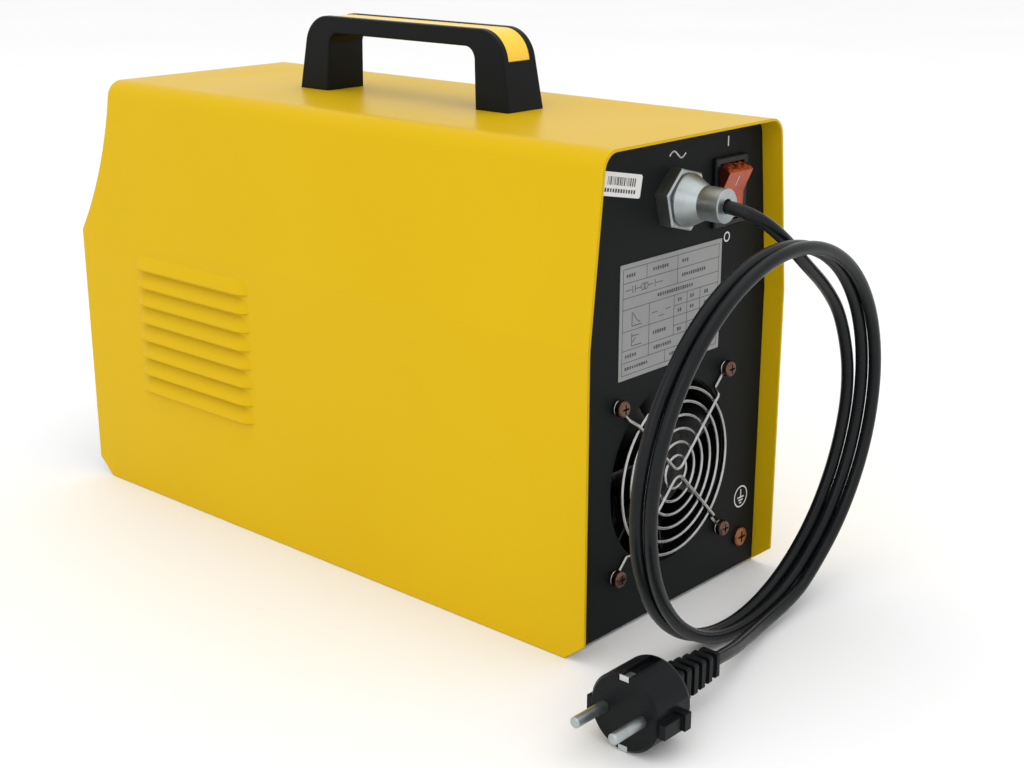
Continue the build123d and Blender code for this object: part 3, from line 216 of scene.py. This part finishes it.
def rocker_plastic():
    """Orange see-through plastic: its ribs show dark through the top end, and its flanks get painted shade, darkened
    where they face sideways along X.
    """
    material = translucent("rocker_orange", (0.40, 0.052, 0.012), (0.54, 0.085, 0.022), 0.12)
    tree = material.node_tree
    shader = tree.nodes["Principled BSDF"]
    base = shader.inputs["Base Color"].links[0].from_socket
    coords = tree.nodes.new("ShaderNodeTexCoord")
    place = tree.nodes.new("ShaderNodeSeparateXYZ")
    tree.links.new(coords.outputs["Generated"], place.inputs["Vector"])
    ribs = tree.nodes.new("ShaderNodeTexVoronoi")
    ribs.inputs["Scale"].default_value = 420.0
    tree.links.new(coords.outputs["Object"], ribs.inputs["Vector"])
    spots = tree.nodes.new("ShaderNodeMapRange")
    spots.inputs["From Min"].default_value = 0.25
    spots.inputs["From Max"].default_value = 0.60
    tree.links.new(ribs.outputs["Distance"], spots.inputs["Value"])
    top_end = tree.nodes.new("ShaderNodeMapRange")
    top_end.inputs["From Min"].default_value = 0.86
    top_end.inputs["From Max"].default_value = 0.93
    tree.links.new(place.outputs["Z"], top_end.inputs["Value"])
    ribbed = tree.nodes.new("ShaderNodeMath")
    ribbed.operation = "MULTIPLY"
    tree.links.new(spots.outputs["Result"], ribbed.inputs[0])
    tree.links.new(top_end.outputs["Result"], ribbed.inputs[1])
    # Painted shade: faces that look sideways along X are darkened towards dark red, standing in for the shade inside
    # the bezel
    facing = tree.nodes.new("ShaderNodeSeparateXYZ")
    tree.links.new(coords.outputs["Normal"], facing.inputs["Vector"])
    sideways = tree.nodes.new("ShaderNodeMath")
    sideways.operation = "ABSOLUTE"
    tree.links.new(facing.outputs["X"], sideways.inputs[0])
    painted_flank_shade = tree.nodes.new("ShaderNodeMapRange")
    painted_flank_shade.inputs["From Min"].default_value = 0.6
    painted_flank_shade.inputs["From Max"].default_value = 0.9
    tree.links.new(sideways.outputs["Value"], painted_flank_shade.inputs["Value"])
    ribs_and_painted_shade = tree.nodes.new("ShaderNodeMath")
    ribs_and_painted_shade.operation = "MAXIMUM"
    tree.links.new(ribbed.outputs["Value"], ribs_and_painted_shade.inputs[0])
    tree.links.new(painted_flank_shade.outputs["Result"], ribs_and_painted_shade.inputs[1])
    # Dark red for the ribs seen through the plastic and for the painted shade on the flanks
    mix = tree.nodes.new("ShaderNodeMix")
    mix.data_type = "RGBA"
    mix.inputs["B"].default_value = (0.05, 0.010, 0.006, 1)
    tree.links.new(base, mix.inputs["A"])
    tree.links.new(ribs_and_painted_shade.outputs["Value"], mix.inputs["Factor"])
    tree.links.new(mix.outputs["Result"], shader.inputs["Base Color"])
    return material


finishes["rocker_orange"] = rocker_plastic()
finishes["lamp_green"] = translucent("lamp_green", (0.02, 0.35, 0.04), (0.04, 0.5, 0.06), 0.4)
finishes["lamp_amber"] = translucent("lamp_amber", (0.7, 0.28, 0.02), (0.85, 0.38, 0.03), 0.4)

slot_of = {part["node"]: part["material_slot"] for part in frame["record"]["subparts"]}
for node_name, node in nodes.items():
    finish = finishes[slot_of[node_name]]
    node.data.materials.clear()
    node.data.materials.append(finish)


# ---------------------------------------------------------------- mesh helpers
def mesh_piece(name, mesh, finish, body="case"):
    """Puts a mesh in the scene as a piece on a body, with its finish."""
    piece = bpy.data.objects.new(name, mesh)
    bpy.context.scene.collection.objects.link(piece)
    mesh.materials.append(finishes[finish])
    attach(piece, body)
    return piece


def slab(bm, matrix, width, height, thick):
    """Thin box centred on the matrix's origin in its XY plane, standing on z = 0."""
    made = bmesh.ops.create_cube(bm, size=1.0)
    scale = Matrix.Diagonal((width, height, thick, 1.0))
    lift = Matrix.Translation((0, 0, thick / 2))
    bmesh.ops.transform(bm, matrix=matrix @ lift @ scale, verts=made["verts"])


def ring(bm, matrix, radius, stroke, thick, steps=40):
    """Flat raised ring in the matrix's XY plane."""
    loops = []
    for level in (0.0, thick):
        for reach in (radius - stroke / 2, radius + stroke / 2):
            loop = []
            for step in range(steps):
                angle = 2 * math.pi * step / steps
                spot = Vector((reach * math.cos(angle), reach * math.sin(angle), level))
                loop.append(bm.verts.new(matrix @ spot))
            loops.append(loop)
    inner_low, outer_low, inner_high, outer_high = loops
    for step in range(steps):
        after = (step + 1) % steps
        bm.faces.new((inner_high[step], outer_high[step], outer_high[after], inner_high[after]))
        bm.faces.new((inner_low[step], inner_low[after], outer_low[after], outer_low[step]))
        bm.faces.new((outer_low[step], outer_low[after], outer_high[after], outer_high[step]))
        bm.faces.new((inner_low[step], inner_high[step], inner_high[after], inner_low[after]))


def finish_bmesh(bm, name):
    """Turns a bmesh into a mesh with outward faces."""
    bmesh.ops.recalc_face_normals(bm, faces=bm.faces)
    mesh = bpy.data.meshes.new(name)
    bm.to_mesh(mesh)
    bm.free()
    return mesh


INK = 0.00004


def rear_spot(x, z, y, turn=0.0):
    """Frame on a face that looks to +Y: local x runs to the viewer's right, local y up. Inputs in mm."""
    base = Matrix(((-1, 0, 0, 0), (0, 0, 1, 0), (0, 1, 0, 0), (0, 0, 0, 1)))
    place = Matrix.Translation((x * MM, y, z * MM))
    return place @ base @ Matrix.Rotation(math.radians(turn), 4, "Z")


# ---------------------------------------------------------------- mains lead
GLAND = (3.0, 200.3)
COIL_CENTRE = (2.6, 94.2)
COIL_RADII = (84.8, 91.0)
COIL_Y, COIL_LEAN = 211.0, 0.08
COIL_STEP_X, COIL_STEP_Y = -2.2, 5.8
COIL_FIRST, COIL_LAST = -0.02, 2.16
POINTS_A_TURN = 16
CORD_RADIUS = 0.003

lead_points = [
    (GLAND[0], 192.0, GLAND[1]),
    (GLAND[0], 207.5, GLAND[1]),
    (-2.6, 218.4, 195.0),
    (-12.6, 223.2, 186.2),
    (-29.0, 222.8, 173.4),
    (-52.5, 221.6, 157.0),
    (-70.0, 220.5, 139.0),
]
tail_points = [
    (-30.0, 225.0, 8.0),
    (-4.0, 227.0, 5.6),
    (22.0, 233.5, 8.6),
    (43.0, 240.6, 13.6),
    (62.2, 243.5, 17.2),
]


def coil_points():
    """Turns of the coil, laid side by side, each a little further out and to the side."""
    outside = 1 / (0.75 + 0.25 * math.cos(2 * math.pi / POINTS_A_TURN))
    count = round((COIL_LAST - COIL_FIRST) * POINTS_A_TURN)
    points = []
    for step in range(count + 1):
        turn = COIL_FIRST + step / POINTS_A_TURN
        angle = 2 * math.pi * turn
        x = COIL_CENTRE[0] + COIL_STEP_X * turn - COIL_RADII[0] * outside * math.cos(angle)
        z = COIL_CENTRE[1] - COIL_RADII[1] * outside * math.sin(angle)
        y = COIL_Y + COIL_LEAN * z + COIL_STEP_Y * turn
        points.append((x, y, z))
    return points


route = lead_points + coil_points() + tail_points
cord_curve = bpy.data.curves.new("mains_lead", "CURVE")
cord_curve.dimensions = "3D"
cord_curve.bevel_depth = CORD_RADIUS
cord_curve.bevel_resolution = 8
cord_curve.resolution_u = 8
cord_curve.use_fill_caps = True
spline = cord_curve.splines.new("NURBS")
spline.points.add(len(route) - 1)
for point, (x, y, z) in zip(spline.points, route):
    point.co = (x * MM, y * MM, z * MM, 1.0)
spline.order_u = 3
spline.use_endpoint_u = True
cord = bpy.data.objects.new("mains_lead", cord_curve)
bpy.context.scene.collection.objects.link(cord)
cord_curve.materials.append(finishes["cord_black"])
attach(cord, "case")
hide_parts("cord_lead", "cord_coil", "cord_tail")

# ---------------------------------------------------------------- marks on the rear panel
PANEL_Y = 0.1745


def panel_marks():
    """Generic symbols: sine for the mains inlet, bar and ring for on and off, earth."""
    bm = bmesh.new()
    slab(bm, rear_spot(-37.5, 221.0, PANEL_Y), 0.8 * MM, 4.6 * MM, INK)
    ring(bm, rear_spot(-39.3, 175.8, PANEL_Y), 2.1 * MM, 0.7 * MM, INK)
    wave_steps = 24
    for step in range(wave_steps):
        share = (step + 0.5) / wave_steps
        angle = 2 * math.pi * share
        slope = math.degrees(math.atan2(2 * math.pi * 1.7 * math.cos(angle), 12.0))
        spot = rear_spot(1.5 - (share - 0.5) * 12.0, 219.6 + 1.7 * math.sin(angle), PANEL_Y, slope)
        slab(bm, spot, 0.75 * MM, 0.75 * MM, INK)
    ring(bm, rear_spot(-60.9, 38.8, PANEL_Y), 5.4 * MM, 0.7 * MM, INK, 56)
    slab(bm, rear_spot(-60.9, 40.6, PANEL_Y), 0.75 * MM, 4.0 * MM, INK)
    for row, width in enumerate((5.6, 3.8, 1.8)):
        slab(bm, rear_spot(-60.9, 38.4 - 1.5 * row, PANEL_Y), width * MM, 0.75 * MM, INK)
    return finish_bmesh(bm, "panel_marks")


mesh_piece("panel_marks", panel_marks(), "ink_white")

LABEL_LEFT, LABEL_TOP = 41.3, 175.9
LABEL_W, LABEL_H = 76.4, 53.0
label_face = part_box("rating_label")[1][1]


def label_rule(bm, u, v, width, height, turn=0.0):
    """Printed bar on the rating label; u and v in mm from its top left corner to the bar's middle."""
    slab(bm, rear_spot(LABEL_LEFT - u, LABEL_TOP - v, label_face, turn), width * MM, height * MM, INK)


def rating_print():
    """Ruled table with rows of short plain bars where a rating plate has its data."""
    bm = bmesh.new()
    draw = random.Random(7)
    left, right, top, bottom = 2.2, LABEL_W - 2.2, 2.2, LABEL_H - 2.2
    line = 0.28
    for v in (top, bottom):
        label_rule(bm, LABEL_W / 2, v, right - left, line)
    for u in (left, right):
        label_rule(bm, u, LABEL_H / 2, line, bottom - top)
    rows = (8.6, 15.4, 20.6, 30.6, 39.4, 45.0)
    for v in rows:
        label_rule(bm, LABEL_W / 2, v, right - left, line)
    columns = ((19.0, top, 8.6), (42.0, top, 15.4), (21.5, 20.6, 45.0), (40.0, 20.6, 39.4), (50.0, 20.6, 39.4),
               (60.0, 20.6, 39.4), (34.0, 45.0, bottom))
    for u, start, end in columns:
        label_rule(bm, u, (start + end) / 2, line, end - start)
    label_rule(bm, (40.0 + right) / 2, 25.6, right - 40.0, line)
    label_rule(bm, (40.0 + right) / 2, 35.0, right - 40.0, line)
    cells = ((5, 5.4, 4), (24, 5.4, 7), (46, 5.4, 3), (46, 12.0, 11), (28, 18.0, 16), (43.5, 23.2, 2), (53, 23.2, 2),
             (64, 23.2, 2), (43.5, 28.2, 2), (53, 28.2, 2), (64, 28.2, 2), (25, 35.0, 6), (43.5, 37.2, 2),
             (53, 37.2, 2), (64, 37.2, 2), (5, 42.2, 5), (26, 42.2, 8), (50, 42.2, 8), (5, 47.9, 10), (38, 47.9, 13))
    for u, v, count in cells:
        for mark in range(count):
            height = 1.9 if v < 45 else 1.6
            label_rule(bm, u + 1.7 * mark, v, 0.9 + 0.4 * draw.random(), height * (0.7 + 0.3 * draw.random()))
    for u in (25.5, 30.5, 35.5):
        label_rule(bm, u, 25.6 if u != 30.5 else 28.0, 4.0, 0.35)
    # simple line drawings: rectifier and transformer, falling curve, flat curve
    for u, v, width, height, turn in (
        (6.0, 12.0, 4.0, 0.35, 0), (9.0, 12.0, 0.4, 3.4, 0), (10.8, 12.0, 0.4, 3.4, 0), (13.2, 12.0, 4.0, 0.35, 0),
        (22.0, 12.0, 3.4, 0.35, 0), (25.2, 12.0, 0.4, 3.2, 0), (28.4, 12.0, 5.0, 0.35, 0), (9.0, 25.6, 0.4, 6.6, 0),
        (12.5, 28.8, 7.0, 0.4, 0), (11.0, 24.6, 4.4, 0.4, -52), (13.8, 27.2, 2.6, 0.4, -30), (9.0, 35.0, 0.4, 6.0, 0),
        (12.6, 38.0, 7.2, 0.4, 0), (11.6, 33.4, 5.0, 0.4, 0), (10.6, 35.4, 3.0, 0.4, 40),
    ):
        label_rule(bm, u, v, width, height, turn)
    for u in (16.6, 18.6):
        ring(bm, rear_spot(LABEL_LEFT - u, LABEL_TOP - 12.0, label_face), 1.5 * MM, 0.35 * MM, INK, 24)
    return finish_bmesh(bm, "rating_print")


mesh_piece("rating_print", rating_print(), "ink_black")

SERIAL_AT = (42.0, 211.6)
SERIAL_TURN = 11.0
serial_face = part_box("serial_label")[1][1]


def serial_print():
    """Barcode and a row of small plain marks under it."""
    bm = bmesh.new()
    draw = random.Random(3)
    base = rear_spot(*SERIAL_AT, serial_face, -SERIAL_TURN)
    reach = -9.5
    while reach < 9.5:
        bar = draw.choice((0.25, 0.35, 0.5, 0.8))
        slab(bm, base @ Matrix.Translation(((reach + bar / 2) * MM, 1.5 * MM, 0)), bar * MM, 3.6 * MM, INK)
        reach += bar + draw.choice((0.3, 0.45, 0.7))
    for mark in range(12):
        place = base @ Matrix.Translation(((-10.4 + 1.85 * mark) * MM, -2.6 * MM, 0))
        slab(bm, place, (0.9 + 0.4 * draw.random()) * MM, (1.5 + 0.3 * draw.random()) * MM, INK)
    return finish_bmesh(bm, "serial_print")


mesh_piece("serial_print", serial_print(), "ink_black")

# ---------------------------------------------------------------- rocker mark
SWITCH = (-38.0, 173.5, 198.0)
ROCKER_REST = 13.0


def rocker_mark():
    """Thin white bar on the upper half of the rocker's face."""
    bm = bmesh.new()
    pivot = Matrix.Translation(Vector(SWITCH) * MM) @ Matrix.Rotation(math.radians(-ROCKER_REST), 4, "X")
    up_face = math.degrees(math.atan2(2.7, 14.0))
    place = pivot @ Matrix.Translation((0, 5.25 * MM, 6.4 * MM)) @ Matrix.Rotation(math.radians(-up_face), 4, "X")
    face = Matrix(((-1, 0, 0, 0), (0, 0, 1, 0), (0, 1, 0, 0), (0, 0, 0, 1)))
    slab(bm, place @ face, 0.45 * MM, 5.2 * MM, INK)
    return finish_bmesh(bm, "rocker_mark")


mesh_piece("rocker_mark", rocker_mark(), "ink_white", "switch_rocker")

# ---------------------------------------------------------------- marks on the front
CONTROL_TILT = 15.0
CONTROL_AT = (0.0, -174.5 + 42.0 * math.tan(math.radians(CONTROL_TILT)), 188.0)
KNOB_UP = -10.0


def control_spot(x, up, turn=0.0):
    """Frame on the leaning control panel: local x to the viewer's right, local y up the slope. Inputs in mm."""
    base = Matrix(((1, 0, 0, 0), (0, 0, -1, 0), (0, 1, 0, 0), (0, 0, 0, 1)))
    place = Matrix.Translation(Vector(CONTROL_AT) * MM)
    tilt = Matrix.Rotation(math.radians(-CONTROL_TILT), 4, "X")
    spin = Matrix.Rotation(math.radians(turn), 4, "Z")
    return place @ tilt @ base @ Matrix.Translation((x * MM, up * MM, 0)) @ spin


def front_marks():
    """Dial ticks round the knob, a plus and a minus by the sockets."""
    bm = bmesh.new()
    for tick in range(11):
        angle = -150 + 30 * tick
        length = 4.0 if tick % 5 == 0 else 2.6
        spot = control_spot(0, KNOB_UP) @ Matrix.Rotation(math.radians(-angle), 4, "Z")
        slab(bm, spot @ Matrix.Translation((0, 21.0 * MM, 0)), 0.8 * MM, length * MM, INK)
    face = Matrix(((1, 0, 0, 0), (0, 0, -1, 0), (0, 1, 0, 0), (0, 0, 0, 1)))
    for x, bars in ((36.0, ((6.0, 1.2), (1.2, 6.0))), (-36.0, ((6.0, 1.2),))):
        for width, height in bars:
            slab(bm, Matrix.Translation((x * MM, -PANEL_Y, 86.0 * MM)) @ face, width * MM, height * MM, INK)
    return finish_bmesh(bm, "front_marks")


mesh_piece("front_marks", front_marks(), "ink_white")

# ---------------------------------------------------------------- floor and light
FLOOR_SIZE = 30.0
floor_mesh = bpy.data.meshes.new("floor")
half = FLOOR_SIZE / 2
floor_mesh.from_pydata([(-half, -half, 0), (half, -half, 0), (half, half, 0), (-half, half, 0)], [], [(0, 1, 2, 3)])
floor = bpy.data.objects.new("floor", floor_mesh)
bpy.context.scene.collection.objects.link(floor)
floor.location.z = cad_box[0][2] - 0.0002
floor_material = grained("floor_white", (0.93, 0.93, 0.93), (0.95, 0.95, 0.95), (0.7, 0.8), 40, 0.0, specular=0.1, mottle=2.0)
floor_mesh.materials.append(floor_material)


def softbox(name, at, target, size, power):
    """Square area light aimed at a point."""
    data = bpy.data.lights.new(name, "AREA")
    data.shape = "SQUARE"
    data.size = size
    data.energy = power
    light = bpy.data.objects.new(name, data)
    light.location = at
    light.rotation_euler = (Vector(target) - Vector(at)).to_track_quat("-Z", "Y").to_euler()
    bpy.context.scene.collection.objects.link(light)
    return light


softbox("overhead", (0.1, 0.3, 2.4), (0, 0.1, 0.1), 2.6, 13.0)
softbox("side_fill", (2.4, 0.6, 1.2), (0, 0, 0.12), 1.6, 8.0)

world = bpy.data.worlds.new("studio")
bpy.context.scene.world = world
world.use_nodes = True
world.node_tree.nodes["Background"].inputs["Color"].default_value = (1.0, 1.0, 1.0, 1)
world.node_tree.nodes["Background"].inputs["Strength"].default_value = 1.0
bpy.context.scene.view_settings.view_transform = "Standard"
